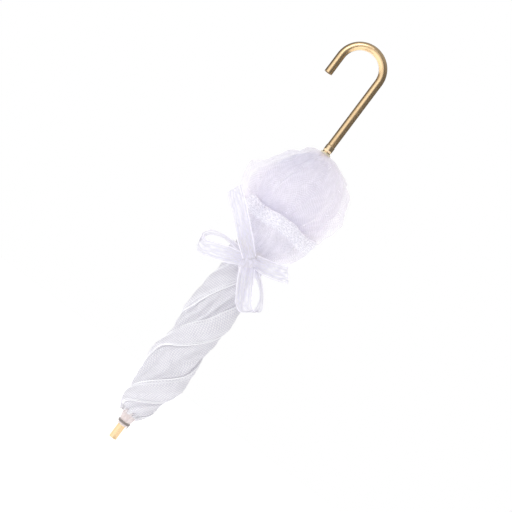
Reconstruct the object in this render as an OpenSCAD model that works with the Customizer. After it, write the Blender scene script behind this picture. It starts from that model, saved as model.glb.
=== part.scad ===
// Miniature lace parasol, furled, made as an ornament: a brass tube with a hook handle, a cloth canopy
// twisted round it, a lace ruffle at the canopy's mouth and an organza ribbon tied in a bow at the neck.
// It stands on its tip: the origin is the centre of the tube's lower end, and +Z runs up the shaft.

/* [Tube and hook] */
// Outside diameter of the brass tube
tube_d = 3.2; // [3:0.1:3.4]
// Wall of the brass tube
tube_wall = 0.35; // [0.3:0.05:0.4]
// Height of the whole parasol, from the tip to the top of the hook
total_h = 176; // [172:1:182]
// Height at which the shaft tube ends, inside the ruffle's gathered top
shaft_h = 133.4; // [133:0.1:134]
// Radius of the hook's bend, to the middle of the tube
hook_r = 8.7; // [7:0.1:10]
// Length of the hook's short straight leg
hook_leg = 8.2; // [5:0.1:12]
// Height of the brass collar between the shaft and the handle
collar_h = 2.9; // [2:0.1:4]

/* [Tip] */
// Length of bare tube below the sleeve
tip_bare = 6; // [4:0.5:8]
// Radius of the sleeve at its lower end
sleeve_r1 = 2.0; // [1.9:0.1:2.4]
// Radius of the sleeve where the cloth is gathered into it
sleeve_r2 = 3.3; // [3:0.1:3.6]

/* [Canopy] */
// Height at which the cloth starts
cloth_z0 = 12.3; // [12:0.1:13]
// Height at which the cloth ends, at the neck
cloth_z1 = 86.8; // [86:0.1:87]
// Degrees that the cloth turns for each mm of height, in its upper part
twist_rate = 6.1; // [5:0.1:7]
// Extra degrees wound in close to the tip
tip_twist = 49; // [0:1:60]
// Radius of the piping along each edge
hem_r = 0.35; // [0.25:0.05:0.45]

/* [Lace ruffle] */
// Thickness of each gathered lace tier
lace_t = 0.9; // [0.6:0.1:1.2]
// Folds round the lower tier
lower_folds = 13; // [9:1:17]
// Folds round the upper tier
upper_folds = 11; // [7:1:15]

/* [Ribbon] */
// Width of the organza ribbon
ribbon_w = 6.4; // [6:0.1:6.6]
// Thickness of the ribbon's solids
ribbon_t = 0.5; // [0.4:0.1:0.6]
// Inside radius of the band round the neck
band_r = 7.8; // [7.7:0.1:8]
// Height of the middle of the band and the bow
bow_z = 83; // [82.6:0.1:83.2]

/* [Hidden] */
$fn = 48;
tube_r = tube_d / 2;
bore_r = tube_r - tube_wall;
running_gap = 0.05;            // radial clearance of the spigot in the shaft and the collar
spigot_z0 = 117;
spigot_z1 = 150;
ream_z0 = spigot_z0 - 2;       // the shaft's bore is reamed for the spigot from here up
relief_h = 1;                  // groove below the reamed length, where the reamer stops
relief_r = bore_r + 0.2;
collar_z0 = shaft_h;
handle_z0 = shaft_h + collar_h + 0.1;
bend_z = total_h - tube_r - hook_r;
sleeve_z1 = cloth_z0 - 0.1;
ring_z = 7.3;                  // binding round the sleeve
ring_r = 0.3;
twist_fade = 14;               // height over which the extra twist near the tip dies out
clear = 0.05;                  // gap left between neighbouring solids of the cloth
core_share = 0.45;             // radius of the wound core, as a share of the canopy's radius
edge_share = 0.88;             // radius at a lobe's two edges, as a share of its crown
fold_share = 0.80;             // mean radius of the gathered folds between the lobes
rings = 70;                    // steps up the canopy

// ---------------------------------------------------------------- helpers

// Crown radius of the canopy at height z
canopy_shape = [[12.3, 5.0], [14, 6.4], [17, 7.1], [20, 7.6], [26, 8.6], [30, 9.1], [62, 9.1],
                [70, 8.5], [75, 7.8], [78, 7.35], [90, 7.35]];
function canopy_r(z) = lookup(z, canopy_shape);

// Angle of the twisted cloth at height z, counted from its lower end
function twist(z) = twist_rate * (z - cloth_z0) + tip_twist * (1 - exp(-(z - cloth_z0) / twist_fade));

// A closed tube of quads through rows of points, each row a closed loop of the same length
module loft(rows) {
    n = len(rows[0]);
    m = len(rows);
    sides = [for (j = [0 : m - 2]) for (i = [0 : n - 1])
             let (k = (i + 1) % n) each [[j * n + i, (j + 1) * n + i, (j + 1) * n + k],
                                         [j * n + i, (j + 1) * n + k, j * n + k]]];
    first = [for (i = [0 : n - 1]) i];
    last = [for (i = [n - 1 : -1 : 0]) (m - 1) * n + i];
    polyhedron(points = [for (r = rows) each r], faces = concat(sides, [first, last]), convexity = 8);
}

// A ring-shaped solid: loops of points placed round +Z, the last joined to the first
module ring_loft(loops) {
    n = len(loops[0]);
    m = len(loops);
    polyhedron(points = [for (l = loops) each l],
               faces = [for (j = [0 : m - 1]) for (i = [0 : n - 1])
                        let (k = (i + 1) % n, q = (j + 1) % m)
                        each [[j * n + i, j * n + k, q * n + k], [j * n + i, q * n + k, q * n + i]]],
               convexity = 8);
}

// Point at angle a, radius r and height z
function polar(a, r, z) = [r * cos(a), r * sin(a), z];

// Point of a smooth curve through the stations p, at t from 0 to len(p) - 1
function smooth_at(p, t) =
    let (n = len(p) - 1, i = min(floor(t), n - 1), f = t - i,
         a = p[max(i - 1, 0)], b = p[i], c = p[i + 1], d = p[min(i + 2, n)])
    0.5 * (2 * b + (c - a) * f + (2 * a - 5 * b + 4 * c - d) * f * f + (3 * b - a - 3 * c + d) * f * f * f);

function unit(v) = v / norm(v);

// ---------------------------------------------------------------- brass

module shaft_tube() {
    color([0.82, 0.68, 0.42])
    difference() {
        cylinder(h = shaft_h, r = tube_r);
        translate([0, 0, -1]) cylinder(h = shaft_h + 2, r = bore_r);
        translate([0, 0, ream_z0]) cylinder(h = shaft_h, r = bore_r + running_gap);
        translate([0, 0, ream_z0 - relief_h]) cylinder(h = relief_h, r = relief_r);
    }
}

// Turned bush that the handle seats on, with its lower edge eased
module collar() {
    color([0.84, 0.70, 0.45])
    rotate_extrude()
    polygon([[bore_r + running_gap, collar_z0], [tube_r - 0.1, collar_z0], [tube_r + 0.15, collar_z0 + 0.8],
             [tube_r + 0.15, collar_z0 + collar_h - 0.25], [tube_r - 0.05, collar_z0 + collar_h],
             [bore_r + running_gap, collar_z0 + collar_h]]);
}

// The hook's path at one radius, with its two open ends run on by extra
module hook_rod(r, extra) {
    translate([0, 0, handle_z0 - extra]) cylinder(h = bend_z - handle_z0 + extra, r = r);
    translate([-2 * hook_r, 0, bend_z - hook_leg - extra]) cylinder(h = hook_leg + extra, r = r);
    translate([-hook_r, 0, bend_z]) rotate([90, 0, 0]) rotate_extrude(angle = 180) translate([hook_r, 0])
        circle(r = r);
}

module handle_tube() {
    color([0.82, 0.68, 0.42])
    difference() {
        hook_rod(tube_r, 0);
        hook_rod(bore_r, 1);
    }
}

// Rod pressed into the handle, on which the handle turns in the shaft
module handle_spigot() {
    color([0.70, 0.58, 0.36])
    translate([0, 0, spigot_z0]) cylinder(h = spigot_z1 - spigot_z0, r = bore_r);
}

// ---------------------------------------------------------------- tip

module tip_sleeve() {
    color([0.94, 0.88, 0.88])
    rotate_extrude()
    polygon([[tube_r, tip_bare], [sleeve_r1, tip_bare], [sleeve_r2, sleeve_z1], [tube_r, sleeve_z1]]);
}

module tip_binding() {
    seat = sleeve_r1 + (sleeve_r2 - sleeve_r1) * (ring_z + ring_r - tip_bare) / (sleeve_z1 - tip_bare);
    color([0.45, 0.43, 0.43])
    rotate_extrude() translate([seat + ring_r + 0.03, ring_z]) circle(r = ring_r);
}

// ---------------------------------------------------------------- canopy

// Inner turns of the cloth, wound tight round the tube
module canopy_core() {
    upper = [for (i = [len(canopy_shape) - 2 : -1 : 0])
             [core_share * canopy_shape[i][1], canopy_shape[i][0]]];
    color([0.90, 0.89, 0.94])
    rotate_extrude()
    polygon(concat([[tube_r, cloth_z0], [tube_r, cloth_z1], [core_share * canopy_r(cloth_z1), cloth_z1]],
                   upper));
}

// Angles at which the four edges of cloth start, and how far each drifts from an even twist, by height
edges = [-38, 42, 142, 219];
drift = [[[12, 0], [36, 13], [43, 13], [50, -3], [57, -9], [63, -18], [67, -14], [75, 0], [90, 0]],
         [[12, 0], [28, -5], [34, -20], [38, -32], [41, -24], [44, -12], [50, -10], [58, 0], [90, 0]],
         [[12, 0], [24, -6], [29, -6], [36, 5], [44, 0], [90, 0]],
         [[12, -14], [15, -14], [18, 0], [24, 32], [30, 28], [38, 12], [48, 20], [57, 33], [61, 23], [64, 16],
          [69, 6], [75, 0], [90, 0]]];
function edge_at(k, z) = edges[k % 4] + (k > 3 ? 360 : 0) + lookup(z, drift[k % 4]) + twist(z);

// One length of cloth, twisted round the core from edge number k to the next.
// Its crown follows a share of the canopy's radius, for s from 0 at one edge to 1 at the other.
function lobe_share(s) = edge_share + (1 - edge_share) * sin(180 * s);
function fold_wave(s) = fold_share + 0.035 * cos(360 * 2.5 * s);

module cloth(k, lobe) {
    steps = lobe ? 10 : 14;
    inner = 4;
    side = 0.5;                // degrees left free at each edge
    color(lobe ? [0.93, 0.92, 0.97] : [0.88, 0.87, 0.94])
    loft([for (j = [0 : rings])
          let (z = cloth_z0 + (cloth_z1 - cloth_z0) * j / rings, r = canopy_r(z),
               b0 = edge_at(k, z) + side, b1 = edge_at(k + 1, z) - side)
          concat([for (i = [0 : steps])
                  let (s = i / steps)
                  polar(b0 + (b1 - b0) * s, r * (lobe ? lobe_share(s) : fold_wave(s)), z)],
                 [for (i = [inner : -1 : 0])
                  polar(b0 + (b1 - b0) * i / inner, core_share * r / cos(15) + clear, z)])]);
}

module canopy_lobe_front() { cloth(0, true); }
module canopy_fold_right() { cloth(1, false); }
module canopy_lobe_back() { cloth(2, true); }
module canopy_fold_left() { cloth(3, false); }

// Piping that runs up edge number k, set in from it by so many degrees, on the lobe that lies to that side
module hem(k, side) {
    sides = 6;
    first = side > 0 ? k : k - 1;    // edge at which that lobe begins
    color([0.97, 0.97, 1.0])
    loft([for (j = [1 : rings - 1])
          let (z = cloth_z0 + (cloth_z1 - cloth_z0) * j / rings,
               wide = edge_at(first + 1, z) - edge_at(first, z), b = edge_at(k, z) + side,
               r = lobe_share(abs(side) / wide) * canopy_r(z) + hem_r + 0.16)
          [for (i = [0 : sides - 1])
           polar(b, r, z) + hem_r * cos(360 * i / sides) * polar(b, 1, 0)
               + hem_r * sin(360 * i / sides) * unit([0.7 * sin(b), -0.7 * cos(b), 0.7])]]);
}

module hem_front_upper() { hem(0, 2.5); }
module hem_front_lower() { hem(1, -2.5); }
module hem_back_upper() { hem(2, 2.5); }
module hem_back_lower() { hem(3, -2.5); }

// Thread wound round the neck, over the ends of the cloth and the lace
module neck_binding() {
    turns = 4;
    wire = 0.2;
    color([0.90, 0.86, 0.76])
    rotate_extrude()
    union() {
        translate([tube_r, cloth_z1 + 0.05]) square([5.2, 2 * wire * turns]);
        for (i = [0 : turns - 1])
            translate([tube_r + 5.2, cloth_z1 + 0.05 + wire * (2 * i + 1)]) circle(r = wire);
    }
}

// ---------------------------------------------------------------- lace

// A gathered tier: a thin skin along the profile, flared into folds that deepen towards its hem.
// The profile lists [radius, height] from the gathered end to the hem.
module tier(profile, folds, depth, phase) {
    steps = 9;
    around = 66;
    n = len(profile) - 1;
    mid = [for (i = [0 : steps]) smooth_at(profile, n * i / steps)];
    ahead = [for (i = [0 : steps]) unit(mid[min(i + 1, steps)] - mid[max(i - 1, 0)])];
    color([0.89, 0.89, 0.96])
    ring_loft([for (j = [0 : around - 1])
               let (a = 360 * j / around, wave = cos(folds * a + phase) + 0.35 * cos(2.3 + 3 * a))
               [for (side = [1, -1]) for (k = [0 : steps])
                let (i = side > 0 ? k : steps - k,
                     p = mid[i] + side * lace_t / 2 * [ahead[i][1], -ahead[i][0]],
                     r = p[0] + depth * wave * pow(i / steps, 1.5))
                polar(a, r, p[1])]]);
}

module lace_lower_tier() {
    tier([[4.4, 89.3], [8.5, 89.6], [12.6, 92.2], [15.2, 96], [16.0, 100], [15.6, 103.4]], lower_folds, 0.5, 0);
}

// Many layers of net bunched round the shaft, which fill the ruffle
module lace_inner_puff() {
    color([0.84, 0.85, 0.94])
    rotate_extrude($fn = 64)
    polygon([[tube_r, 91], [6.5, 91.3], [10.6, 94.6], [12.6, 99], [13.4, 104], [13.2, 109], [12.2, 114.5],
             [10, 120], [7.2, 125], [3.9, 129.6], [tube_r, 130.4]]);
}

module lace_upper_tier() {
    tier([[2.9, 132.2], [7.6, 129.8], [12.6, 124.8], [17.0, 118.6], [19.6, 112.6], [18.9, 104.8]],
         upper_folds, 0.8, 40);
}

// Thread that draws the top of the lace in under the collar
module lace_gather_thread() {
    color([0.95, 0.95, 0.98])
    rotate_extrude() translate([tube_r + 0.32, 132.6]) circle(r = 0.3);
}

// ---------------------------------------------------------------- ribbon

module ribbon_band() {
    color([0.90, 0.90, 0.98])
    translate([0, 0, bow_z - ribbon_w / 2])
    difference() {
        cylinder(h = ribbon_w, r = band_r + ribbon_t);
        translate([0, 0, -1]) cylinder(h = ribbon_w + 2, r = band_r);
    }
}

// Pillow-shaped knot drawn tight on the front of the band
knot_size = [4.8, 3.6, 7.6];
knot = [0.6, -(band_r + ribbon_t + knot_size[1] / 2 + 0.03), bow_z + 0.4];

module ribbon_knot() {
    color([0.88, 0.88, 0.97])
    translate(knot)
    rotate([0, 12, 0])
    scale([knot_size[0] / 2, knot_size[1] / 2, knot_size[2] / 2])
    loft([for (j = [1 : 11])
          let (b = 15 * (j - 6), h = sign(b) * pow(abs(sin(b)), 0.8), r = pow(cos(b), 0.5))
          [for (i = [0 : 19]) let (a = 18 * i) [r * cos(a), r * sin(a), h]]]);
}

// A length of ribbon through stations, each [middle of the ribbon, half of its width as a vector]
module strip(stations, steps) {
    n = len(stations) - 1;
    mid = [for (i = [0 : steps]) smooth_at([for (s = stations) s[0]], n * i / steps)];
    wide = [for (i = [0 : steps]) smooth_at([for (s = stations) s[1]], n * i / steps)];
    loft([for (i = [0 : steps])
          let (w = wide[i], d = mid[min(i + 1, steps)] - mid[max(i - 1, 0)],
               o = unit(cross(w, d)) * ribbon_t / 2)
          [mid[i] - w - o, mid[i] + w - o, mid[i] + w + o, mid[i] - w + o]]);
}

module bow_tail_upper() {
    color([0.92, 0.90, 0.97])
    strip([[[-2.2, -12.4, 86.6], [1.2, -0.3, 1.5]], [[-5.2, -13.6, 89.4], [1.9, -1.0, 2.4]],
           [[-10.2, -14.0, 93.4], [1.7, -1.2, 2.4]], [[-14.8, -12.6, 96.8], [1.7, -1.0, 2.5]],
           [[-18.8, -10.6, 99.6], [1.6, -0.8, 2.6]]], 12);
}

module bow_tail_right() {
    color([0.92, 0.90, 0.97])
    strip([[[3.8, -11.2, 84.0], [-0.2, 0, 1.6]], [[7.4, -11.6, 84.9], [-0.6, -0.7, 2.9]],
           [[12.2, -10.4, 86.2], [-0.8, -0.6, 3.0]], [[16.4, -8.4, 87.6], [-1.2, -0.4, 2.9]]], 10);
}

// A loop leaves the knot, turns back on itself at its far end and comes back behind
module bow_loop_left() {
    color([0.92, 0.90, 0.97])
    strip([[[-2.6, -11.6, 82.4], [0, 0, 1.6]], [[-7, -12.6, 80.9], [-0.4, 0, 3.0]],
           [[-13, -13.0, 79.9], [-0.5, 0, 3.1]], [[-17.4, -11.6, 80.2], [-0.3, 0.2, 3.1]],
           [[-18.3, -9.6, 81.2], [-0.1, 0.3, 3.1]], [[-16.2, -8.2, 82.1], [0.2, 0.3, 3.0]],
           [[-10.6, -8.7, 83.0], [0.2, 0.2, 2.6]]], 18);
}

module bow_loop_lower() {
    color([0.92, 0.90, 0.97])
    strip([[[2.2, -12.0, 78.4], [1.4, 0, 0.9]], [[4.2, -13.0, 76.2], [2.3, 0, 2.0]],
           [[7.6, -13.6, 72.2], [2.5, 0, 2.0]], [[10.8, -12.4, 68.9], [2.5, 0, 2.0]],
           [[12.6, -10.2, 68.3], [2.5, 0, 2.0]], [[12.9, -9.0, 71.2], [2.3, 0, 1.9]],
           [[9.6, -9.4, 76.4], [1.9, 0, 1.6]]], 18);
}

shaft_tube();
collar();
handle_tube();
handle_spigot();
tip_sleeve();
tip_binding();
canopy_core();
canopy_lobe_front();
canopy_lobe_back();
canopy_fold_left();
canopy_fold_right();
hem_front_upper();
hem_front_lower();
hem_back_upper();
hem_back_lower();
neck_binding();
lace_lower_tier();
lace_inner_puff();
lace_upper_tier();
lace_gather_thread();
ribbon_band();
ribbon_knot();
bow_tail_upper();
bow_tail_right();
bow_loop_left();
bow_loop_lower();
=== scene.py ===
"""Looks for the miniature lace parasol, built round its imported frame.

Every length is in millimetres until a mesh is made, and heights count from the tip, as in the frame.
Angles are in degrees about the shaft, from +X towards +Y, so the front is at -90.
"""

import math

import bpy
import numpy as np
from mathutils import Matrix, Vector


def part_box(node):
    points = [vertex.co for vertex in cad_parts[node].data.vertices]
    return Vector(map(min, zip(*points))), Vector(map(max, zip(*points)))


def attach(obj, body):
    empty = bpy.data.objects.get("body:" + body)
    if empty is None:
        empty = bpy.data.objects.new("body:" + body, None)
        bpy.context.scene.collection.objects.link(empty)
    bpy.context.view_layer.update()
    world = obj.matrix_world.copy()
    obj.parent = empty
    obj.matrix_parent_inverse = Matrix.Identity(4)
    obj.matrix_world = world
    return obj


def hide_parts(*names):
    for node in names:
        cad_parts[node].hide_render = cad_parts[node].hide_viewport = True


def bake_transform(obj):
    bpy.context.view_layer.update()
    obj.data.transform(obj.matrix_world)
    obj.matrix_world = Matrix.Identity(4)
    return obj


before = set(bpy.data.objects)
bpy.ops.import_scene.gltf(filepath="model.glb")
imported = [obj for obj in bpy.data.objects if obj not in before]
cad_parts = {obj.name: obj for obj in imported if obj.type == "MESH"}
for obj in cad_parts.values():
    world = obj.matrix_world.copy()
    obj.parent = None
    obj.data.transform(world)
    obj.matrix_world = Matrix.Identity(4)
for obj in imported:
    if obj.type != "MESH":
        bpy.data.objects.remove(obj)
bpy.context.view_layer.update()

MM = 0.001
FRONT = -90.0
rng = np.random.default_rng(7)


# ---------------------------------------------------------------- places taken from the frame

def span(node):
    """Lowest and highest corner of a CAD node, in millimetres."""
    low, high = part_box(node)
    return np.array(low) / MM, np.array(high) / MM


SLEEVE_LOW, SLEEVE_HIGH = span("tip_sleeve")
CORE_LOW, CORE_HIGH = span("canopy_core")
BAND_LOW, BAND_HIGH = span("ribbon_band")
KNOT_LOW, KNOT_HIGH = span("ribbon_knot")
TUBE_R = span("shaft_tube")[1][0]
BAND_R = BAND_HIGH[0] - 0.25
BAND_Z = (BAND_LOW[2] + BAND_HIGH[2]) / 2
KNOT = (KNOT_LOW + KNOT_HIGH) / 2
CLOTH_Z0, CLOTH_Z1 = CORE_LOW[2], CORE_HIGH[2]
GATHER_Z = span("lace_gather_thread")[1][2] - 0.3


# ---------------------------------------------------------------- meshes

def make_piece(name, points, faces, uv=None, smooth=True):
    """A mesh object from points in millimetres. uv holds one (u, v) for each corner of each face."""
    mesh = bpy.data.meshes.new(name)
    mesh.from_pydata([tuple(p) for p in np.asarray(points) * MM], [], faces)
    if uv is not None:
        layer = mesh.uv_layers.new(name="flat")
        layer.data.foreach_set("uv", np.asarray(uv, np.float32).ravel())
    mesh.polygons.foreach_set("use_smooth", [smooth] * len(mesh.polygons))
    mesh.update()
    piece = bpy.data.objects.new(name, mesh)
    bpy.context.scene.collection.objects.link(piece)
    return piece


def grid_parts(points, u, v, wrap):
    """Flat lists of points, faces and corner uvs for a grid. With wrap, the last column joins the first,
    and u and v have one column more than points."""
    rows, cols = points.shape[:2]
    across = cols if wrap else cols - 1
    faces, uv = [], []
    for i in range(rows - 1):
        for j in range(across):
            k = (j + 1) % cols
            faces.append((i * cols + j, i * cols + k, (i + 1) * cols + k, (i + 1) * cols + j))
            for a, b in ((i, j), (i, j + 1), (i + 1, j + 1), (i + 1, j)):
                uv.append((u[a, b], v[a, b]))
    return points.reshape(-1, 3), faces, uv


def steps_along(points, axis, wrap=False):
    """Running length along rows or columns of a grid of points, in millimetres."""
    if wrap:
        points = np.concatenate([points, points[:, :1]], axis=1)
    gaps = np.linalg.norm(np.diff(points, axis=axis), axis=2)
    start = np.zeros_like(gaps[:, :1] if axis == 1 else gaps[:1])
    return np.concatenate([start, np.cumsum(gaps, axis=axis)], axis=axis)


def smooth_line(points, count):
    """count points of a smooth curve through the given ones."""
    p = np.asarray(points, float)
    n = len(p) - 1
    t = np.linspace(0, n, count)
    i = np.minimum(t.astype(int), n - 1)
    f = (t - i)[:, None]
    a, b, c, d = p[np.maximum(i - 1, 0)], p[i], p[i + 1], p[np.minimum(i + 2, n)]
    return 0.5 * (2 * b + (c - a) * f + (2 * a - 5 * b + 4 * c - d) * f ** 2
                  + (3 * b - a - 3 * c + d) * f ** 3)


def closed_curve(points, per_gap):
    """Points of a smooth closed curve through the given ones, per_gap to each gap."""
    p = np.asarray(points, float)
    a, b, c, d = np.roll(p, 1, 0), p, np.roll(p, -1, 0), np.roll(p, -2, 0)
    f = (np.arange(per_gap) / per_gap)[None, :, None]
    a, b, c, d = (q[:, None] for q in (a, b, c, d))
    curve = 0.5 * (2 * b + (c - a) * f + (2 * a - 5 * b + 4 * c - d) * f ** 2
                   + (3 * b - a - 3 * c + d) * f ** 3)
    return curve.reshape(-1, p.shape[1])


def tube_parts(path, radius, sides=8, start=0):
    """Points and faces of a round cord along a path, closed at both ends. radius may vary along it."""
    path = np.asarray(path, float)
    n = len(path)
    radius = np.broadcast_to(radius, n)
    ahead = np.gradient(path, axis=0)
    ahead /= np.linalg.norm(ahead, axis=1)[:, None]
    out = np.cross(ahead[0], (0.31, 0.17, 0.93))
    points = []
    for i in range(n):
        out = out - ahead[i] * np.dot(out, ahead[i])
        out /= np.linalg.norm(out)
        side = np.cross(ahead[i], out)
        for k in range(sides):
            a = 2 * math.pi * k / sides
            points.append(path[i] + radius[i] * (math.cos(a) * out + math.sin(a) * side))
    faces = [(start + i * sides + k, start + i * sides + (k + 1) % sides,
              start + (i + 1) * sides + (k + 1) % sides, start + (i + 1) * sides + k)
             for i in range(n - 1) for k in range(sides)]
    faces.append(tuple(start + k for k in range(sides))[::-1])
    faces.append(tuple(start + (n - 1) * sides + k for k in range(sides)))
    return points, faces


def cords_piece(name, paths, radii, sides=8):
    """One piece made of several round cords."""
    points, faces = [], []
    for path, radius in zip(paths, radii):
        p, f = tube_parts(path, radius, sides, len(points))
        points += list(p)
        faces += f
    return make_piece(name, points, faces)


def rumple(points, seed, wave, height):
    """Random dents over a surface: how far each point moves out, for dents about wave across."""
    pick = np.random.default_rng(seed)
    total = np.zeros(points.shape[:-1])
    for _ in range(9):
        way = pick.normal(size=3)
        way *= 2 * math.pi / wave / np.linalg.norm(way) * pick.uniform(0.7, 1.4)
        total += np.sin(points @ way + pick.uniform(0, 6.3))
    return total * height / 3


def turned(angle, radius, z):
    """Points at these angles, radii and heights."""
    a = np.radians(angle)
    return np.stack(np.broadcast_arrays(radius * np.cos(a), radius * np.sin(a), z), axis=-1)


# ---------------------------------------------------------------- material maker

class Value:
    """A number on a socket. Sums with it add Math nodes."""

    def __init__(self, finish, socket):
        self.finish, self.socket = finish, socket

    def __add__(self, other): return self.finish.math("ADD", self, other)
    def __radd__(self, other): return self.finish.math("ADD", other, self)
    def __sub__(self, other): return self.finish.math("SUBTRACT", self, other)
    def __rsub__(self, other): return self.finish.math("SUBTRACT", other, self)
    def __mul__(self, other): return self.finish.math("MULTIPLY", self, other)
    def __rmul__(self, other): return self.finish.math("MULTIPLY", other, self)
    def __truediv__(self, other): return self.finish.math("DIVIDE", self, other)
    def __pow__(self, other): return self.finish.math("POWER", self, other)
    def __abs__(self): return self.finish.math("ABSOLUTE", self)


class Finish:
    """The nodes of a material, or of the world, being made."""

    def __init__(self, holder):
        holder.use_nodes = True
        self.holder, self.tree = holder, holder.node_tree
        self.tree.nodes.clear()

    def node(self, kind, settings=None, inputs=None):
        """A node of that type, with its settings made first and then its sockets filled."""
        made = self.tree.nodes.new("ShaderNode" + kind)
        for key, value in (settings or {}).items():
            if key == "stops":
                ramp = made.color_ramp.elements
                while len(ramp) < len(value):
                    ramp.new(0.5)
                for stop, (at, colour) in zip(ramp, value):
                    stop.position, stop.color = at, (*colour, 1)
            else:
                setattr(made, key, value)
        for key, value in (inputs or {}).items():
            self.fill(made.inputs[key], value)
        return made

    def fill(self, socket, value):
        if isinstance(value, Value):
            value = value.socket
        if isinstance(value, bpy.types.NodeSocket):
            self.tree.links.new(value, socket)
        elif isinstance(value, tuple) and len(value) == 3 and socket.type == "RGBA":
            socket.default_value = (*value, 1)
        else:
            socket.default_value = value

    def math(self, operation, *values):
        made = self.node("Math", {"operation": operation}, dict(enumerate(values)))
        return Value(self, made.outputs[0])

    def sin(self, x): return self.math("SINE", x)

    def lowest(self, x, y): return self.math("MINIMUM", x, y)

    def highest(self, x, y): return self.math("MAXIMUM", x, y)

    def fraction(self, x): return self.math("FRACT", x)

    def step(self, x, low, high, to_low=0.0, to_high=1.0):
        """x eased from low to high onto 0 to 1, or onto the given ends."""
        made = self.node("MapRange", {"interpolation_type": "SMOOTHSTEP"},
                         {"Value": x, "From Min": low, "From Max": high, "To Min": to_low, "To Max": to_high})
        return Value(self, made.outputs["Result"])

    def mix(self, share, first, second):
        """A colour between two others."""
        made = self.node("Mix", {"data_type": "RGBA"})
        self.fill(made.inputs["Factor"], share)
        self.fill([s for s in made.inputs if s.name == "A" and s.type == "RGBA"][0], first)
        self.fill([s for s in made.inputs if s.name == "B" and s.type == "RGBA"][0], second)
        return [s for s in made.outputs if s.type == "RGBA"][0]

    def flat(self):
        """The two numbers of a piece's flat pattern, in millimetres."""
        at = self.node("UVMap", {"uv_map": "flat"})
        parts = self.node("SeparateXYZ", None, {"Vector": at.outputs["UV"]})
        return Value(self, parts.outputs["X"]), Value(self, parts.outputs["Y"])

    def place(self):
        """Where a point is in the frame, in metres, as a vector."""
        return self.node("TexCoord").outputs["Object"]

    def noise(self, scale, detail=3, vector=None, stretch=None):
        """Noise from 0 to 1. stretch scales the three directions first."""
        vector = vector or self.place()
        if stretch:
            vector = self.node("VectorMath", {"operation": "MULTIPLY"}, {0: vector, 1: stretch}).outputs[0]
        made = self.node("TexNoise", None, {"Vector": vector, "Scale": scale, "Detail": detail})
        return Value(self, made.outputs["Fac"])

    def vector(self, x, y, z=0.0):
        return self.node("CombineXYZ", None, {"X": x, "Y": y, "Z": z}).outputs[0]

    def bump(self, height, distance, strength=1.0):
        return self.node("Bump", None, {"Height": height, "Distance": distance,
                                        "Strength": strength}).outputs["Normal"]

    def surface(self, translucent=None, **inputs):
        """The finished surface: a Principled shader, with light let through from behind where wanted."""
        named = {key.replace("_", " "): value for key, value in inputs.items()}
        shader = self.node("BsdfPrincipled", None, named).outputs[0]
        if translucent:
            share, colour = translucent
            back = self.node("BsdfTranslucent", None, {"Color": colour}).outputs[0]
            made = self.node("MixShader", None, {"Fac": share})
            self.tree.links.new(shader, made.inputs[1])
            self.tree.links.new(back, made.inputs[2])
            shader = made.outputs[0]
        out = self.node("OutputMaterial")
        self.tree.links.new(shader, out.inputs["Surface"])
        return self.holder


# ---------------------------------------------------------------- materials

def brass_finish(name, colour, dark):
    """Drawn brass tube: lengthwise draw lines, light tarnish and soft gloss."""
    f = Finish(bpy.data.materials.new(name))
    lines = f.noise(900, 2, stretch=(1.0, 1.0, 0.03))
    patches = f.noise(260, 4)
    tarnish = f.step(patches, 0.52, 0.72)
    specks = f.step(f.noise(2600, 2), 0.70, 0.78)
    tint = f.mix(tarnish * 0.35 + specks * 0.25, colour, dark)
    return f.surface(Base_Color=tint, Metallic=1.0, Roughness=0.19 + lines * 0.12 + tarnish * 0.12,
                     Normal=f.bump(lines, 0.00004, 0.35))


def woven_cloth(name, light, shade, thread=0.54):
    """Plain weave: threads one way and the other pass over each other in turn."""
    f = Finish(bpy.data.materials.new(name))
    u, v = f.flat()
    wander = f.noise(0.9, 2, f.vector(u, v)) * 0.5
    a = (u + wander) * (math.pi / thread)
    b = (v + wander) * (math.pi / thread)
    crossing = f.sin(a) * f.sin(b)
    dome = abs(crossing) ** 0.5
    over = f.step(crossing, -0.55, 0.55)
    slub = (f.noise(1.0, 2, f.vector(u * 0.25, v * 5.0)) * 0.5
            + f.noise(1.0, 2, f.vector(u * 5.0, v * 0.25)) * 0.5)
    # Painted light and shade: threads that pass over, and the crown of each thread, take the light colour;
    # threads that dip under take the shade colour.
    lit = f.lowest(over * 0.62 + dome * 0.38 + (slub - 0.5) * 0.5, 1.0)
    tint = f.mix(lit, shade, light)
    height = over * 0.6 + dome * 0.6
    return f.surface(translucent=(0.3, light), Base_Color=tint, Roughness=0.72 - 0.2 * over,
                     Sheen_Weight=0.25, Sheen_Roughness=0.4, Normal=f.bump(height, 0.00009, 0.7))


def twisted_cord(name, light, shade, turn=0.5):
    """Thread or piping laid up from strands, seen as slanting ridges."""
    f = Finish(bpy.data.materials.new(name))
    place = f.node("SeparateXYZ", None, {"Vector": f.place()})
    z = Value(f, place.outputs["Z"])
    x = Value(f, place.outputs["X"])
    y = Value(f, place.outputs["Y"])
    # Painted light and shade: the crowns of the strands take the light colour and the grooves between them
    # the shade colour, alongside the bump.
    ridge = f.sin((z + x * 0.8 + y * 0.8) * (2 * math.pi / (turn * MM))) * 0.5 + 0.5
    return f.surface(Base_Color=f.mix(ridge, shade, light), Roughness=0.5,
                     Sheen_Weight=0.3, Normal=f.bump(ridge, 0.00006, 0.6))


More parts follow.
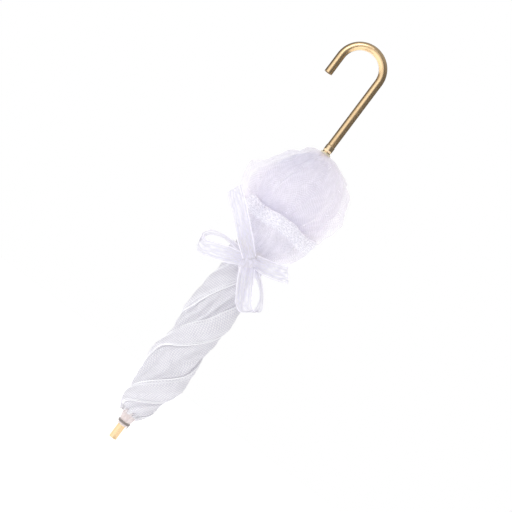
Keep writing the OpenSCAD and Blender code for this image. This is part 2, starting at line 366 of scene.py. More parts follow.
def net_finish(name, light, shade, mesh=0.8, wire=0.09, clear=0.0, solid=0.9, bunched=0.3, through=0.35):
    """Fine net: threads cross slantwise and leave diamond holes, and here and there they bunch."""
    f = Finish(bpy.data.materials.new(name))
    u, v = f.flat()
    wander = f.noise(0.35, 2, f.vector(u, v)) * 1.6
    p = abs(f.fraction((u + v + wander) / mesh) - 0.5)
    q = abs(f.fraction((u - v + wander) / mesh) - 0.5)
    thread = f.step(f.highest(p, q), 0.5 - wire * 1.6, 0.5 - wire * 0.7)
    cloud = f.noise(0.30, 3, f.vector(u * 1.7, v * 0.7))
    bunch = f.step(cloud, 0.40, 0.72)
    cover = f.lowest(clear + (solid - clear) * thread + bunch * bunched, 1.0)
    # Painted shade: where the net bunches, and a little along its threads, it takes the shade colour, for the
    # shade among the gathered layers.
    tint = f.mix(f.lowest(bunch * 0.7 + thread * 0.3, 1.0), light, shade)
    return f.surface(translucent=(through, light), Base_Color=tint, Roughness=0.85, Alpha=cover,
                     Sheen_Weight=0.3, Sheen_Roughness=0.5, Normal=f.bump(thread, 0.00006, 0.5))


def lace_border(name, light, shade):
    """Edging worked on the net: rows of loops between two firm threads."""
    f = Finish(bpy.data.materials.new(name))
    u, v = f.flat()
    strands = f.noise(1.0, 2, f.vector(u * 0.7, v * 2.6))
    loops = abs(f.sin(u * (math.pi / 1.3) + f.sin(v * 2.9) * 1.3))
    worked = f.lowest(f.step(strands, 0.46, 0.60) + f.step(loops, 0.80, 0.98) * 0.5, 1.0)
    cover = 0.50 + 0.26 * worked
    tint = f.mix(worked, shade, light)
    return f.surface(translucent=(0.25, light), Base_Color=tint, Roughness=0.75, Alpha=cover,
                     Sheen_Weight=0.2, Normal=f.bump(worked, 0.00006, 0.5))


def organza_finish(name, light, shade, width):
    """Crinkled organza: fine wavy threads along the ribbon and a woven satin edge on each side."""
    f = Finish(bpy.data.materials.new(name))
    u, v = f.flat()
    crinkle = f.noise(0.55, 3, f.vector(u * 1.1, v * 1.3)) * 2.6
    threads = f.sin((v + crinkle) * (2 * math.pi / 1.15)) * 0.5 + 0.5
    fine = f.sin((v + crinkle * 0.6) * (2 * math.pi / 0.5)) * 0.5 + 0.5
    edge = f.step(abs(v - width / 2), width / 2 - 0.55, width / 2 - 0.35)
    rim = f.step(abs(v - width / 2), width / 2 - 0.22, width / 2 - 0.08)
    bars = f.step(threads * 0.7 + fine * 0.3, 0.25, 0.85)
    cover = f.lowest(0.50 + bars * 0.38 + edge * 0.3, 1.0)
    tint = f.mix(bars * (1 - edge) * 0.9 + rim * 0.6, light, shade)
    height = bars * (1 - edge) + edge * 1.1
    return f.surface(translucent=(0.3, light), Base_Color=tint, Roughness=0.42, Alpha=cover,
                     Sheen_Weight=0.4, Sheen_Roughness=0.3, Normal=f.bump(height, 0.00022, 0.9))


def film_finish(name, tint, shade):
    """Thin translucent film, shrunk on and a little crazed."""
    f = Finish(bpy.data.materials.new(name))
    streak = f.noise(700, 3, stretch=(1.0, 1.0, 0.25))
    cloud = f.noise(420, 3)
    return f.surface(translucent=(0.35, tint), Base_Color=f.mix(f.step(streak, 0.45, 0.75), tint, shade),
                     Roughness=0.35, Alpha=0.66 + 0.3 * cloud, Coat_Weight=0.4, Coat_Roughness=0.2,
                     Normal=f.bump(streak, 0.00015, 0.6))


def floor_finish():
    f = Finish(bpy.data.materials.new("pale_floor"))
    return f.surface(Base_Color=(0.9, 0.9, 0.9), Roughness=0.9, Emission_Color=(1, 1, 1),
                     Emission_Strength=0.6)


BRASS = brass_finish("brass", (0.80, 0.585, 0.345), (0.48, 0.33, 0.17))
BRASS_LIGHT = brass_finish("brass_collar", (0.84, 0.65, 0.42), (0.54, 0.39, 0.22))
CLOTH = woven_cloth("woven_cloth", (1.0, 0.99, 1.0), (0.60, 0.59, 0.68))
# A darker copy of the same cloth for its inner turns: painted shade for the inside of the roll.
CORE_CLOTH_SHADED = woven_cloth("core_cloth_painted_shade", (0.9, 0.89, 0.95), (0.6, 0.59, 0.66))
HEM = twisted_cord("hem_cord", (1.0, 1.0, 1.0), (0.93, 0.93, 0.98))
CREAM = twisted_cord("cream_thread", (0.86, 0.80, 0.62), (0.62, 0.55, 0.38))
GREY = twisted_cord("grey_thread", (0.34, 0.30, 0.28), (0.19, 0.16, 0.15))
EDGE = twisted_cord("edge_thread", (0.84, 0.79, 0.84), (0.68, 0.63, 0.69))
NET = net_finish("lace_net", (0.985, 0.965, 0.985), (0.93, 0.91, 0.95), clear=0.08, solid=0.66, bunched=0.26,
                 through=0.5)
# The heart's net is dense, and its darker, bluer colour is painted shade: white net looking dark from the
# shade among its many layers.
NET_DENSE_SHADED = net_finish("lace_net_dense_painted_shade", (0.745, 0.76, 0.87), (0.63, 0.645, 0.79), clear=0.88, solid=1.0,
                       bunched=0.3, through=0.15)
NET_OPEN = net_finish("lace_net_open", (0.985, 0.965, 0.985), (0.91, 0.89, 0.945), mesh=0.9, wire=0.06,
                      clear=0.02, solid=0.30, bunched=0.11, through=0.45)
BORDER = lace_border("lace_border", (0.98, 0.97, 1.0), (0.91, 0.90, 0.96))
RIBBON_W = 6.4
ORGANZA = organza_finish("organza", (0.96, 0.94, 1.0), (0.57, 0.56, 0.69), RIBBON_W)
# A lighter copy of the organza for the knot and the band round the neck: painted light that lifts the shadow
# these tight turns lie in.
ORGANZA_LIGHTENED = organza_finish("organza_knot_painted_light", (0.98, 0.96, 1.0), (0.78, 0.77, 0.88), RIBBON_W)
FILM = film_finish("clear_sleeve", (0.96, 0.89, 0.89), (0.84, 0.75, 0.76))


def dress(piece, material, body=None, replaces=()):
    """Gives a piece its material, the body it moves with and the CAD nodes it stands for."""
    piece.data.materials.clear()
    piece.data.materials.append(material)
    if body:
        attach(piece, body)
    if replaces:
        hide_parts(*replaces)
    return piece


# ---------------------------------------------------------------- brass

for node_name in ("shaft_tube", "handle_tube", "handle_spigot"):
    dress(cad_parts[node_name], BRASS)
dress(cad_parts["collar"], BRASS_LIGHT)


# ---------------------------------------------------------------- canopy

TWIST_RATE, TIP_TWIST, TWIST_FADE = 6.1, 49.0, 14.0
EDGES = (-38.0, 42.0, 142.0, 219.0)
DRIFT = ([(12, 0), (36, 13), (43, 14), (46, 6), (50.6, -4), (57, -9), (62.7, -20), (67, -15), (75, 0),
          (90, 0)],
         [(12, 0), (28, -5), (34, -20), (38, -38), (41, -29), (43, -14), (50, -10), (58, 0), (90, 0)],
         [(12, 0), (24.5, -6), (29, -6), (36, 5), (44, 0), (90, 0)],
         [(12, -18), (15.5, -20), (18, 0), (24.4, 37), (30, 30), (38, 12), (48, 20), (57, 34), (61, 23),
          (64, 16), (69, 6), (75, 0), (90, 0)])
CROWN = smooth_line([(10.4, 3.6), (12.3, 4.9), (14.5, 6.5), (17, 7.3), (20, 8.0), (26, 9.1), (31, 9.5),
                     (44, 9.4), (58, 9.6), (64, 9.2), (69, 8.7), (75, 7.9), (80, 7.3), (88, 6.9)], 300)
LEAN = smooth_line([(10, 0.0), (16, 0.3), (22, 0.8), (29, 1.2), (43, 1.1), (57, 1.5), (66, 0.9), (74, 0.4),
                    (80, 0.1), (90, 0.0)], 200)


def twist(z):
    return TWIST_RATE * (z - CLOTH_Z0) + TIP_TWIST * (1 - np.exp(-(z - CLOTH_Z0) / TWIST_FADE))


def crown(z):
    return np.interp(z, CROWN[:, 0], CROWN[:, 1])


def lean(z):
    """How far the cloth's middle stands off the shaft, towards +X."""
    return np.interp(z, LEAN[:, 0], LEAN[:, 1])


def edge_angle(k, z):
    """Where edge number k stands at height z, less the even twist."""
    table = DRIFT[k % 4]
    heights, turns = zip(*table)
    near = [np.interp(z + step, heights, turns) for step in (-1.5, -0.75, 0, 0.75, 1.5)]
    return EDGES[k % 4] + (360 if k > 3 else 0) + sum(near) / len(near)


def valley_share(s, z, k):
    """Share of the crown's radius in the gathered folds between two lobes. The ridges wander up the cloth."""
    wave = (math.cos(2 * math.pi * (2.1 * s + z / 13.0 + 0.3 * k))
            + 0.45 * math.cos(2 * math.pi * (3.3 * s + z / 9.0)))
    inside = math.sin(math.pi * s) ** 0.5
    return 0.85 - 0.045 * inside + 0.085 * wave * inside


FINE = 0.095


def section(z):
    """The cloth's cross-section at height z, in order round it, as (angle, share of the crown's radius).
    A lobe overhangs at both edges and is tucked back under them into the folds beside it."""
    marks = []
    for k in range(4):
        a0, a1 = edge_angle(k, z), edge_angle(k + 1, z)
        wide = a1 - a0
        if k % 2 == 0:
            puff = 1.0 + 0.022 * math.sin(z / 4.3 + k) + 0.015 * math.sin(z / 2.6 + 2 * k)
            tuck, brow, brow_r = min(6, 0.2 * wide), FINE * wide, 0.895 + 0.045 * min(1, wide / 60)
            middle = (a0 + a1) / 2 + 0.05 * wide * math.sin(z / 7 + k)
            high = 0.95 + 0.05 * min(1, wide / 60)
            marks += [(a0 + tuck, 0.74), (a0 + 0.2 * tuck, 0.77), (a0 - 1.6, 0.83), (a0 - 0.6, 0.895),
                      (a0 + brow, brow_r), (a0 + 0.25 * wide, 0.98 * high * puff), (middle, high * puff),
                      (a1 - 0.25 * wide, 0.98 * high * puff), (a1 - brow, brow_r), (a1 + 0.6, 0.895),
                      (a1 + 1.6, 0.83), (a1 - 0.2 * tuck, 0.77), (a1 - tuck, 0.74)]
        else:
            for s in np.linspace(0.03, 0.97, 12):
                marks.append((a0 + wide * s, valley_share(s, z, k)))
    return np.array(marks)


def cloth_xy(angle, share, z, lift=0.0):
    """Points on the twisted cloth, lifted off it by so much, in the frame."""
    point = turned(angle + twist(z), crown(z) * share + lift, z)
    point[..., 0] += lean(z)
    return point


def canopy_sheet():
    rows = np.linspace(CLOTH_Z0 - 1.1, CLOTH_Z1, 310)
    grid = []
    for z in rows:
        marks = section(z)
        ring = closed_curve(cloth_xy(marks[:, 0], marks[:, 1], z), 7)
        grid.append(ring)
    grid = np.array(grid)
    cols = grid.shape[1]
    turn = np.arange(cols) / cols * 2 * math.pi
    up = (rows - rows[0])[:, None]
    out = grid[:, :, :2] - np.stack([lean(rows), np.zeros(len(rows))], 1)[:, None]
    out /= np.linalg.norm(out, axis=2)[:, :, None]
    soft = (0.10 * np.sin(5 * turn + up / 3.1) + 0.07 * np.sin(11 * turn - up / 1.7 + 1)
            + 0.05 * np.sin(17 * turn + up / 1.1 + 2))
    neck = np.clip((rows - 76) / 5, 0, 1)[:, None] * 0.22 * np.sin(24 * turn + 0.4 * np.sin(5 * turn))
    tip = np.clip((17 - rows) / 5, 0, 1)[:, None] * 0.42 * np.sin(13 * turn + 0.9 * np.sin(3 * turn))
    dents = rumple(grid, 3, 7.0, 0.16) + rumple(grid, 4, 3.0, 0.06)
    grid[:, :, :2] += out * (soft + neck + tip + dents)[:, :, None]
    fray = 0.35 * np.sin(9 * turn) + 0.3 * np.sin(23 * turn + 1) + 0.25 * rng.standard_normal(cols)
    grid[:, :, 2] += np.clip((CLOTH_Z0 + 0.9 - rows) / 2.0, 0, 1)[:, None] * fray
    helix = math.radians(44)
    around = steps_along(grid[150:151], 1, wrap=True)
    along = np.concatenate([steps_along(grid, 0), steps_along(grid, 0)[:, :1]], axis=1)
    along = along.mean(axis=1, keepdims=True) * np.ones_like(along)
    u = around * math.cos(helix) * np.ones_like(along)
    v = around * math.sin(helix) + along
    piece = make_piece("canopy_cloth", *grid_parts(grid, u, v, wrap=True))
    dress(piece, CLOTH, "parasol",
          ("canopy_lobe_front", "canopy_lobe_back", "canopy_fold_left", "canopy_fold_right"))
    return piece


def inner_turns():
    """The cloth's inner end, wound two and a half times round the tube."""
    rows = np.linspace(CLOTH_Z0 - 0.6, CLOTH_Z1, 60)
    wind = np.linspace(0, 2.5 * 360, 150)
    radius = TUBE_R + 0.3 + (0.58 * crown(rows)[:, None] - TUBE_R - 0.3) * (wind / wind[-1])[None]
    grid = turned(wind[None] + twist(rows)[:, None], radius, rows[:, None] * np.ones_like(radius))
    piece = make_piece("canopy_inner_turns", *grid_parts(
        grid, steps_along(grid[30:31], 1) * np.ones_like(radius), steps_along(grid, 0), wrap=False))
    return dress(piece, CORE_CLOTH_SHADED, "parasol", ("canopy_core",))


def piping(name, k, side):
    """The stitched cord along edge number k of a lobe: a bold cord on the fold, a fine one inside it, and the
    stitches between them. side is 1 where the lobe lies at higher angles."""
    z = np.linspace(CLOTH_Z0 + 0.6, CLOTH_Z1 - 1.5, 330)
    here, there = edge_angle(k, z), edge_angle(k + side if side > 0 else k + 3, z)
    wide = np.abs((there - here + 360) % 360 if side > 0 else (here - there + 720) % 360)
    wander = 0.4 * np.sin(z / 2.3 + k) + 0.25 * np.sin(z / 1.1)
    bold = cloth_xy(here - side * 0.6 + wander * 0.3, 0.895, z, 0.17)
    fine = cloth_xy(here + side * FINE * wide, 0.895 + 0.045 * np.minimum(1, wide / 60), z, 0.09)
    paths, radii = [bold, fine], [0.185 + 0.02 * np.sin(z * 9), 0.10]
    for i in range(3, 325, 4):
        a, b = bold[i], fine[min(i + 2, 329)]
        middle = (a + b) / 2
        middle[:2] *= 1.012
        paths.append(np.array([a, middle, b]))
        radii.append(0.05)
    piece = cords_piece(name.replace("hem", "piping"), paths, radii, 6)
    return dress(piece, HEM, "parasol", (name,))


def loose_threads():
    """A few warp ends pulled out of the cloth's raw end."""
    paths = []
    for k in range(26):
        a = rng.uniform(0, 360)
        z = CLOTH_Z0 - rng.uniform(0.2, 0.9)
        length = rng.uniform(0.6, 1.9)
        start = cloth_xy(a, 0.93, z + 0.8)
        sway = rng.uniform(-0.7, 0.7, 3)
        paths.append(np.array([start, start + (0.3 * sway[0], 0.3 * sway[1], -0.45 * length),
                               start + (0.7 * sway[0], 0.7 * sway[1], -0.95 * length)]))
    piece = cords_piece("loose_threads", [smooth_line(p, 7) for p in paths], [0.05] * len(paths), 5)
    return dress(piece, HEM, "parasol")


canopy = canopy_sheet()
inner = inner_turns()
pipings = [piping(hem_name, number, inward) for number, (hem_name, inward) in
           enumerate((("hem_front_upper", 1), ("hem_front_lower", -1),
                      ("hem_back_upper", 1), ("hem_back_lower", -1)))]
loose_threads()


# ---------------------------------------------------------------- tip and bindings

def coil(name, radius_at, z0, z1, turns, wire, material, node, tail=0.0):
    """Thread wound on the shaft from z0 to z1, with its end left hanging by so much."""
    t = np.linspace(0, 1, int(turns * 40))
    z = z0 + (z1 - z0) * t
    path = turned(360 * turns * t + 200, radius_at(z), z)
    if tail:
        end = path[-1] + np.array([(0.5, -0.5, -0.4), (0.9, -0.9, -1.2), (1.0, -1.1, -tail)])
        path = np.concatenate([path, smooth_line([path[-1], *end], 14)[2:]])
    return dress(cords_piece(name, [path], [wire]), material, "parasol", (node,))


def sleeve():
    """Film shrunk over the gathered cloth, creased lengthwise."""
    rows = np.linspace(SLEEVE_LOW[2], SLEEVE_HIGH[2], 40)
    turn = np.linspace(0, 360, 96, endpoint=False)
    t = (rows - rows[0]) / (rows[-1] - rows[0])
    bound = np.exp(-((rows - 7.3) / 0.45) ** 2)
    wide = 2.0 + 1.3 * t ** 1.15 - 0.22 * bound
    crease = (0.10 * np.sin(np.radians(9 * turn)) + 0.07 * np.sin(np.radians(14 * turn + 40)))[None]
    outer = turned(turn[None] + 25 * t[:, None], wide[:, None] + crease * (0.4 + t[:, None]), rows[:, None])
    inner = turned(turn[None] + 25 * t[:, None], TUBE_R + 0.02 + 0 * crease, rows[:, None])
    skin = np.concatenate([outer, inner[::-1], outer[:1]])
    flat = steps_along(skin, 0)
    flat = np.concatenate([flat, flat[:, :1]], 1)
    piece = make_piece("tip_film", *grid_parts(skin, flat, flat, wrap=True))
    return dress(piece, FILM, "parasol", ("tip_sleeve",))


sleeve()
coil("tip_winding", lambda z: 2.42 + 0 * z, 6.95, 7.65, 2.6, 0.16, GREY, "tip_binding", 2.2)
coil("neck_winding", lambda z: 6.9 + 0 * z, CLOTH_Z1 + 0.25, CLOTH_Z1 + 1.45, 4, 0.19, CREAM,
     "neck_binding")
coil("gather_winding", lambda z: TUBE_R + 0.34 + 0 * z, GATHER_Z - 0.35, GATHER_Z + 0.3, 2.5, 0.17, CREAM,
     "lace_gather_thread")


# ---------------------------------------------------------------- lace

def wobble(turn, seed, low=2, high=7):
    """A smooth random wave round the shaft, about 1 high."""
    pick = np.random.default_rng(seed)
    wave = 0 * turn
    for n in range(low, high + 1):
        wave = wave + np.sin(n * turn + pick.uniform(0, 6.3)) / math.sqrt(n)
    return wave / 1.5


def bulge(turn, at, wide):
    """1 at an angle in degrees, easing to 0 over so many degrees each side."""
    away = (np.degrees(turn) - at + 180) % 360 - 180
    return np.exp(-(away / wide) ** 2)


def middle_of(pairs):
    """How far the lace stands off the shaft, towards +X, by height."""
    table = np.array(sorted(pairs))
    return lambda z: np.interp(z, table[:, 0], table[:, 1])


def cut_of(pairs):
    """How much of a tier's profile is there at each angle, from 0 to 1."""
    table = np.array(sorted((a % 360, share) for a, share in pairs))
    every = np.interp(np.arange(720), table[:, 0], table[:, 1], period=360)
    even = np.convolve(np.tile(every, 3), np.hanning(41) / np.hanning(41).sum(), "same")[720:1440]
    return lambda turn: np.interp(np.degrees(turn) % 360, np.arange(720), even)


PROFILE_STEPS = 300


def ruffle(name, profile, ridges, depth, curl, seed, middle, material, node=None, cut=None, swell=None,
           rows=72, around=440, flare=1.4, ragged=0.3, rolled=0.0, dent=0.5):
    """A gathered sheet round the shaft, from its drawn-in end to its hem. ridges are the angles of its folds,
    which deepen towards the hem and curl over. flat is its cut: once round, and from gather to hem, in mm.
    middle gives how far it stands off the shaft at each height, cut how much of the profile is there at each
    angle, and swell how far it stands out or draws in there. The hem may be rolled round a thread."""
    line = smooth_line(profile, PROFILE_STEPS)
    t = np.linspace(0, 1, rows)[:, None]
    turn = np.linspace(0, 2 * math.pi, around, endpoint=False)[None]
    marks = np.radians(sorted(a % 360 for a in ridges))
    count = len(marks)
    marks = np.concatenate([[marks[-1] - 2 * math.pi], marks, [marks[0] + 2 * math.pi]])
    phase = (2 * math.pi * np.interp(turn, marks, np.arange(-1, count + 1))
             + 0.7 * t * wobble(turn, seed, 3, 6))
    at = t * (cut(turn) if cut else 1.0) * np.ones_like(turn)
    along = np.linspace(0, 1, PROFILE_STEPS)
    radius, z = np.interp(at, along, line[:, 0]), np.interp(at, along, line[:, 1])
    size = depth * t ** flare * (1 + 0.35 * wobble(turn, seed + 1, 3, 9))
    crush = (0.14 * np.sin(31 * turn + 5 * t + 3 * wobble(turn, seed + 2))
             + 0.12 * wobble(turn + 0.3 * t, seed + 3, 9, 24))
    rough = turned(np.degrees(turn), radius, z)
    dents = (rumple(rough, seed, 8.0, dent) + rumple(rough, seed + 5, 3.5, dent * 0.4)) * np.minimum(1, 5 * t)
    radius = radius + size * np.cos(phase) + crush * (0.5 + depth * 0.4) + dents
    if swell:
        radius = radius + swell(turn, z)
    z = z + 0.5 * size * np.sin(phase + 0.8) + ragged * t ** 3 * wobble(turn, seed + 4, 4, 14)
    angle = turn + curl * size / np.maximum(radius, 1) * np.sin(phase)
    grid = np.stack([radius * np.cos(angle) + middle(z), radius * np.sin(angle), z], axis=2)
    around_hem = steps_along(grid[-1:], 1, wrap=True) * np.ones((rows, 1))
    down = steps_along(grid, 0)
    down = np.concatenate([down, down[:, :1]], axis=1)
    piece = make_piece(name, *grid_parts(grid, around_hem, down[-1:] - down, wrap=True))
    dress(piece, material, "parasol", (node,) if node else ())
    edging = []
    if rolled:
        hem = np.concatenate([grid[-1], grid[-1, :2]])
        edging = [dress(cords_piece(name + "_edge", [hem], [rolled], 5), EDGE, "parasol")]
    return piece


def edge_rows(piece, material, width):
    """Gives the faces within width of the hem another finish."""
    piece.data.materials.append(material)
    flat = piece.data.uv_layers["flat"].data
    for face in piece.data.polygons:
        if flat[face.loop_start].uv[1] < width:
            face.material_index = 1


UPPER_MIDDLE = middle_of([(100, 0.4), (106, 0.0), (113, 0.0), (118.5, 1.6), (124, 2.3), (129.7, 1.8),
                          (133, 0.0)])
LOWER_MIDDLE = middle_of([(85, 0.0), (88, 0.8), (91, 1.8), (94, 2.2), (99, 2.0), (104, 0.6)])
HEART_MIDDLE = middle_of([(86, 0.4), (94, 1.0), (100, 1.0), (104, 0.2), (116, -1.4), (126, -1.2), (131, 0)])


def side_loops(turn, z):
    """The outer tier swells into one sheer loop on the left and spreads unevenly on the right."""
    below = np.clip((117.5 - z) / 2.5, 0, 1) * np.clip((z - 99) / 4, 0, 1)
    spread = 3.0 * bulge(turn, 182, 15) + 1.6 * bulge(turn, -16, 8) + 1.9 * bulge(turn, 10, 8)
    return below * spread + front_tuck(turn, z)


def front_tuck(turn, z):
    """At the front the upper tiers draw in behind the lower tier's hem."""
    return -4.6 * bulge(turn, FRONT, 70) * np.clip((111 - z) / 8, 0, 1)


ruffle("lace_outer_tier",
       [(TUBE_R + 0.2, GATHER_Z - 0.2), (5.6, 131.6), (10.6, 128.2), (15.2, 122.4), (17.8, 115.8),
        (17.8, 109.6), (16.0, 104.2), (13.2, 100.4)],
       [-160, -128, -96, -62, -38, -14, 10, 36, 66, 96, 130, 156], 1.0, 1.5, 11, UPPER_MIDDLE, NET_OPEN,
       "lace_upper_tier",
       cut_of([(180, 0.98), (230, 1.0), (275, 0.98), (300, 0.92), (322, 0.88), (345, 0.90), (10, 0.9),
               (60, 0.94), (120, 0.9)]), side_loops, rolled=0.10, flare=0.9)
ruffle("lace_second_tier",
       [(TUBE_R + 0.15, GATHER_Z - 0.6), (5.0, 130.9), (9.4, 127.0), (13.2, 121.0), (15.8, 114.4),
        (16.2, 108.6), (15.2, 103.6), (12.8, 99.6)],
       [-150, -118, -84, -50, -22, 4, 28, 60, 96, 126, 155, 190], 1.1, 1.3, 23, UPPER_MIDDLE, NET_OPEN,
       cut=cut_of([(180, 0.9), (230, 0.98), (290, 0.98), (320, 0.90), (345, 0.82), (10, 0.80), (40, 0.85),
                   (90, 0.95)]), swell=front_tuck, rolled=0.10, flare=0.9)
ruffle("lace_third_tier",
       [(TUBE_R + 0.1, GATHER_Z - 1.2), (4.6, 130.3), (8.4, 126.2), (11.9, 120.4), (14.2, 113.6),
        (14.6, 107.8), (13.8, 103), (12.0, 99)],
       range(-170, 190, 30), 0.9, 1.3, 37, UPPER_MIDDLE, NET_OPEN,
       cut=cut_of([(180, 0.9), (270, 1.0), (0, 0.85)]), swell=front_tuck, flare=0.8)
ruffle("lace_heart",
       [(TUBE_R + 0.1, 130.8), (4.2, 129.4), (7.4, 125.6), (10.4, 119.8), (12.0, 113), (11.5, 106),
        (10.3, 99.5), (9.0, 94), (7.2, 90), (6.4, CLOTH_Z1 + 0.4)],
       range(0, 360, 45), 0.4, 1.0, 31, HEART_MIDDLE, NET_DENSE_SHADED, "lace_inner_puff", flare=0.3, ragged=0.0)
CUP = [(7.2, 85.2), (7.7, 87.2), (9.8, 89.7), (12.3, 92.6), (14.3, 96.4), (15.1, 100.2), (14.9, 103.7)]
lower_tier = ruffle("lace_lower_cup", CUP, [-166, -88, -10, 14, 38, 64, 90, 116, 141, 166],
                    0.9, 1.1, 47, LOWER_MIDDLE, NET, "lace_lower_tier", rolled=0.07)
edge_rows(lower_tier, BORDER, 6.0)
# The lining lies inside the cup, and meets it again where both are drawn in at the neck.
ruffle("lace_lower_lining", [(r - 2.8 + 2.0 * (z < 88), z - 0.6) for r, z in CUP],
       [-150, -115, -84, -48, -22, 5, 40, 75, 105, 130, 160], 0.8, 1.2, 59, LOWER_MIDDLE, NET,
       dent=0.25)


def wisps():
    """Stray net threads that stand out from the ruffle's edges."""
    paths = []
    for k in range(60):
        a = rng.choice([rng.normal(0, 28), rng.normal(180, 25), rng.uniform(0, 360)])
        z = rng.uniform(95, 128)
        r = np.interp(z, [95, 104, 114, 120, 128], [13.5, 16, 18.4, 16.6, 11]) + rng.uniform(-0.6, 0.6)
        start = turned(a, r, z) + (UPPER_MIDDLE(z), 0, 0)
        out = turned(a + rng.uniform(-50, 50), 1.0, 0)
        rise = np.array([0, 0, rng.uniform(-1.0, 1.0)])
        length = rng.uniform(0.8, 2.6)
        paths.append(smooth_line([start, start + length * 0.5 * out + 0.3 * rise,
                                  start + length * out + length * 0.6 * rise], 9))
    dress(cords_piece("lace_wisps", paths, [0.045] * len(paths), 4), HEM, "parasol")


wisps()


# ---------------------------------------------------------------- ribbon

def ribbon(name, stations, rows, nodes, bodies=None, slant=0.0, crinkle=0.16, sag=0.35):
    """A length of organza through stations, each [middle, half of its width as a vector]. It is pleated
    where it narrows and its free end may be cut slantwise. When bodies are given it is fixed in place, on no
    body."""
    middle = smooth_line([s[0] for s in stations], rows)
    wide = smooth_line([s[1] for s in stations], rows)
    half = np.linalg.norm(wide, axis=1, keepdims=True)
    wide = wide / half * np.minimum(half, RIBBON_W / 2)
    ahead = np.gradient(middle, axis=0)
    ahead /= np.linalg.norm(ahead, axis=1)[:, None]
    out = np.cross(wide, ahead)
    out /= np.linalg.norm(out, axis=1)[:, None]
    s = np.linspace(-1, 1, 25)[None, :, None]
    t = np.linspace(0, 1, rows)[:, None, None]
    seed = sum(ord(c) for c in name)
    tight = np.clip(1 - half[:, :, None] / (RIBBON_W / 2), 0, 1)
    pleats = (0.55 * np.cos(2.5 * math.pi * s + seed) + 0.3 * np.cos(4 * math.pi * s)) * tight * 1.1
    waves = crinkle * (np.sin(2.6 * math.pi * s + 7 * t + seed) + 0.7 * np.sin(14 * t + 2 * s + seed)
                       + 0.5 * np.sin(29 * t - 3 * s))
    cup = sag * (1 - s ** 2) * (1 - tight)
    grid = middle[:, None] + wide[:, None] * s + out[:, None] * (pleats + waves + cup)
    grid = grid + ahead[:, None] * slant * s * np.clip((t - 0.7) / 0.3, 0, 1) ** 2
    along = steps_along(grid, 0).mean(axis=1, keepdims=True) * np.ones(grid.shape[:2])
    across = (s[..., 0] + 1) / 2 * RIBBON_W * np.ones(grid.shape[:2])
    piece = make_piece(name, *grid_parts(grid, along, across, wrap=False))
    dress(piece, ORGANZA, None, nodes)
    if bodies:
        [c * MM for c in middle[0]]
        [c * MM for c in middle[rows // 3]]
        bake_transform(piece)
    else:
        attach(piece, "ribbon")
    return piece


TAIL_UPPER = [[(0.6, -12.6, 84.6), (1.8, -0.2, 1.9)], [(-5.2, -14.6, 89.6), (2.1, -0.7, 2.3)],
              [(-10.2, -15.6, 94.1), (2.1, -0.7, 2.3)], [(-14.8, -14.8, 98.0), (2.1, -0.6, 2.3)],
              [(-18.9, -13.2, 101.4), (2.0, -0.5, 2.4)]]
TAIL_RIGHT = [[(3.0, -11.6, 84.7), (-0.5, 0, 2.4)], [(7.2, -11.8, 85.2), (-1.0, -0.7, 2.9)],
              [(11.8, -10.6, 86.4), (-1.3, -0.6, 3.0)], [(16.0, -8.8, 87.9), (-1.5, -0.4, 2.8)]]
LOOP_LEFT = [[(-1.4, -12.0, 82.4), (-0.6, 0, 2.3)], [(-6.2, -12.9, 80.8), (-0.9, 0, 3.0)],
             [(-11.6, -13.1, 78.8), (-1.0, 0, 3.1)], [(-15.8, -12.2, 77.6), (-0.8, 0.2, 3.1)],
             [(-17.8, -10.4, 79.6), (-0.4, 1.2, 2.8)], [(-16.4, -8.9, 83.3), (0.1, 2.9, 1.2)],
             [(-11.4, -8.9, 85.3), (0.1, 2.8, 0.6)], [(-4.4, -10.2, 84.8), (0.1, 1.8, 1.0)]]
LOOP_LOWER = [[(2.2, -12.2, 81.2), (2.4, 0, 1.6)], [(4.4, -13.2, 77.2), (2.8, 0, 1.6)],
              [(7.2, -13.8, 72.6), (2.8, 0, 1.6)], [(9.6, -13.6, 69.4), (2.8, 0, 1.6)],
              [(12.2, -12.4, 68.4), (2.6, 0.6, 1.8)], [(14.6, -10.4, 70.8), (1.5, 2.2, 1.2)],
              [(13.2, -9.8, 75.0), (0.8, 2.7, 0.5)],
              [(9.0, -10.4, 79.4), (0.6, 2.2, 0.4)], [(4.2, -11.2, 82.4), (0.5, 1.6, 0.5)]]

ribbon("tail_upper_ribbon", TAIL_UPPER, 90, ("bow_tail_upper",), ("ribbon", "tail_upper"), slant=0.9)
ribbon("tail_right_ribbon", TAIL_RIGHT, 70, ("bow_tail_right",), ("ribbon", "tail_right"), slant=-0.6)
ribbon("loop_left_ribbon", LOOP_LEFT, 150, ("bow_loop_left",), ("ribbon", "loop_left"))
ribbon("loop_lower_ribbon", LOOP_LOWER, 150, ("bow_loop_lower",), ("ribbon", "loop_lower"))


def band():
    """The ribbon's turn round the neck, bunched a little behind the knot."""
    turn = np.linspace(0, 2 * math.pi, 240, endpoint=False)[None]
    s = np.linspace(-1, 1, 25)[:, None]
    near = bulge(turn, FRONT, 26)
    half = RIBBON_W / 2 * (1 - 0.35 * near)
    folds = 0.14 + 0.12 * np.sin(9 * turn + 2 * s) + 0.26 * (1 + np.cos(7 * s)) * (0.35 + 0.65 * near)
    radius = BAND_R + 0.05 + folds + 0 * s
    z = BAND_Z - 0.2 + half * s + 0.25 * np.sin(2 * turn + 1)
    grid = np.stack([radius * np.cos(turn), radius * np.sin(turn), z], axis=2)
    around = steps_along(grid[12:13], 1, wrap=True) * np.ones((25, 1))
    across = (s + 1) / 2 * RIBBON_W * np.ones((1, 241))
    piece = make_piece("neck_ribbon", *grid_parts(grid, around, across, wrap=True))
    return dress(piece, ORGANZA_LIGHTENED, "ribbon", ("ribbon_band",))


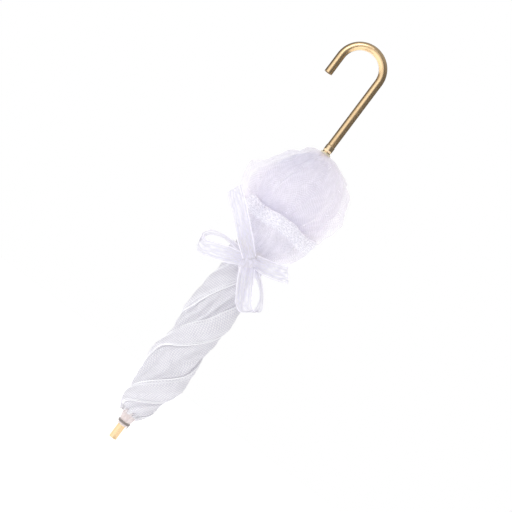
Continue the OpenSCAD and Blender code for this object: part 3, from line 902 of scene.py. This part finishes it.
def knot():
    """The ribbon's turn over the middle of the bow, pulled tight into lengthwise creases."""
    rise = np.linspace(-84, 84, 48)
    turn = np.linspace(0, 360, 110, endpoint=False)
    b, a = np.radians(rise)[:, None], np.radians(turn)[None]
    size = (KNOT_HIGH - KNOT_LOW) / 2 * (1.10, 0.98, 1.0)
    ring = np.cos(b) ** 0.5
    crease = (1 + 0.075 * np.sin(11 * a + 3 * np.sin(b) + 1.2 * np.sin(3 * a)) * np.cos(b)
              + 0.05 * np.sin(5 * a + 4 * b))
    x = size[0] * ring * np.cos(a) * crease
    y = size[1] * ring * np.sin(a) * crease
    z = size[2] * np.sign(b) * np.abs(np.sin(b)) ** 0.8 + 0 * a
    tilt = math.radians(-32)
    grid = np.stack([x * math.cos(tilt) + z * math.sin(tilt), y,
                     z * math.cos(tilt) - x * math.sin(tilt)], axis=2)
    grid = grid + KNOT + (0.9, 0, -1.4)
    points, faces, uv = grid_parts(grid, steps_along(grid[24:25], 1, wrap=True) * np.ones((48, 1)),
                                   np.linspace(0.7, 5.7, 48)[:, None] * np.ones((1, 111)), wrap=True)
    n = grid.shape[1]
    faces = faces + [tuple(range(n))[::-1], tuple(47 * n + k for k in range(n))]
    uv = list(uv) + [(0.0, 3.0)] * (2 * n)
    piece = make_piece("bow_knot", points, faces, uv)
    return dress(piece, ORGANZA_LIGHTENED, "ribbon", ("ribbon_knot",))


band()
knot()


# ---------------------------------------------------------------- floor, light and camera

def floor():
    size, z = 900.0, -70.0
    corners = [(-size, -size, z), (size, -size, z), (size, size, z), (-size, size, z)]
    piece = make_piece("floor", corners, [(0, 1, 2, 3)], smooth=False)
    piece.data.materials.append(floor_finish())


def lamp(name, place, aim, size, power, colour=(1, 1, 1)):
    light = bpy.data.lights.new(name, "AREA")
    light.shape = "RECTANGLE"
    light.size, light.size_y = size
    light.energy, light.color = power, colour
    holder = bpy.data.objects.new(name, light)
    holder.location = place
    holder.rotation_euler = (Vector(aim) - Vector(place)).to_track_quat("-Z", "Y").to_euler()
    bpy.context.scene.collection.objects.link(holder)


def surroundings():
    """A white room as the camera sees it, with softer light for the cloth, and darker sides with one bright
    card for the brass to mirror."""
    f = Finish(bpy.data.worlds.new("studio"))
    bpy.context.scene.world = f.holder
    way = f.node("SeparateXYZ", None, {"Vector": f.node("TexCoord").outputs["Generated"]})
    x, y, z = (Value(f, way.outputs[k]) for k in "XYZ")
    soft = 0.88 + y * 0.12 + z * 0.07 - x * 0.02
    card = f.step(x * -0.55 + y * -0.83, 0.58, 0.97)
    mirrored = 0.17 + card * 0.98 + f.step(z, 0.35, 0.95) * 0.28 + f.step(z * -1, 0.60, 0.95) * 1.1
    black, bright = (0, 0, 0), (2, 2, 2)
    kind = f.node("LightPath").outputs
    unseen = f.mix(kind["Is Glossy Ray"], f.mix(soft * 0.5, black, bright),
                   f.mix(mirrored * 0.5, black, bright))
    shown = f.node("Background", None,
                   {"Color": f.mix(kind["Is Camera Ray"], unseen, (1, 1, 1)), "Strength": 1.0})
    f.tree.links.new(shown.outputs[0], f.node("OutputWorld").inputs["Surface"])


def camera():
    """Level, square on to the front, and rolled so that the parasol lies slantwise."""
    lens = bpy.data.cameras.new("camera")
    lens.lens = 100
    lens.sensor_width = 36
    holder = bpy.data.objects.new("camera", lens)
    aim = Vector((2.2, 0, 86.5)) * MM
    turned_by = Matrix.Rotation(math.radians(90), 4, "X") @ Matrix.Rotation(math.radians(36.9), 4, "Z")
    holder.matrix_world = Matrix.Translation(aim + Vector((0, -0.532, 0))) @ turned_by
    bpy.context.scene.collection.objects.link(holder)
    bpy.context.scene.camera = holder


floor()
surroundings()
lamp("key", (-0.20, -0.40, 0.42), (0, 0, 0.09), (0.28, 0.28), 0.62)
camera()
scene = bpy.context.scene
scene.view_settings.view_transform = "Standard"
scene.cycles.transparent_max_bounces = 32
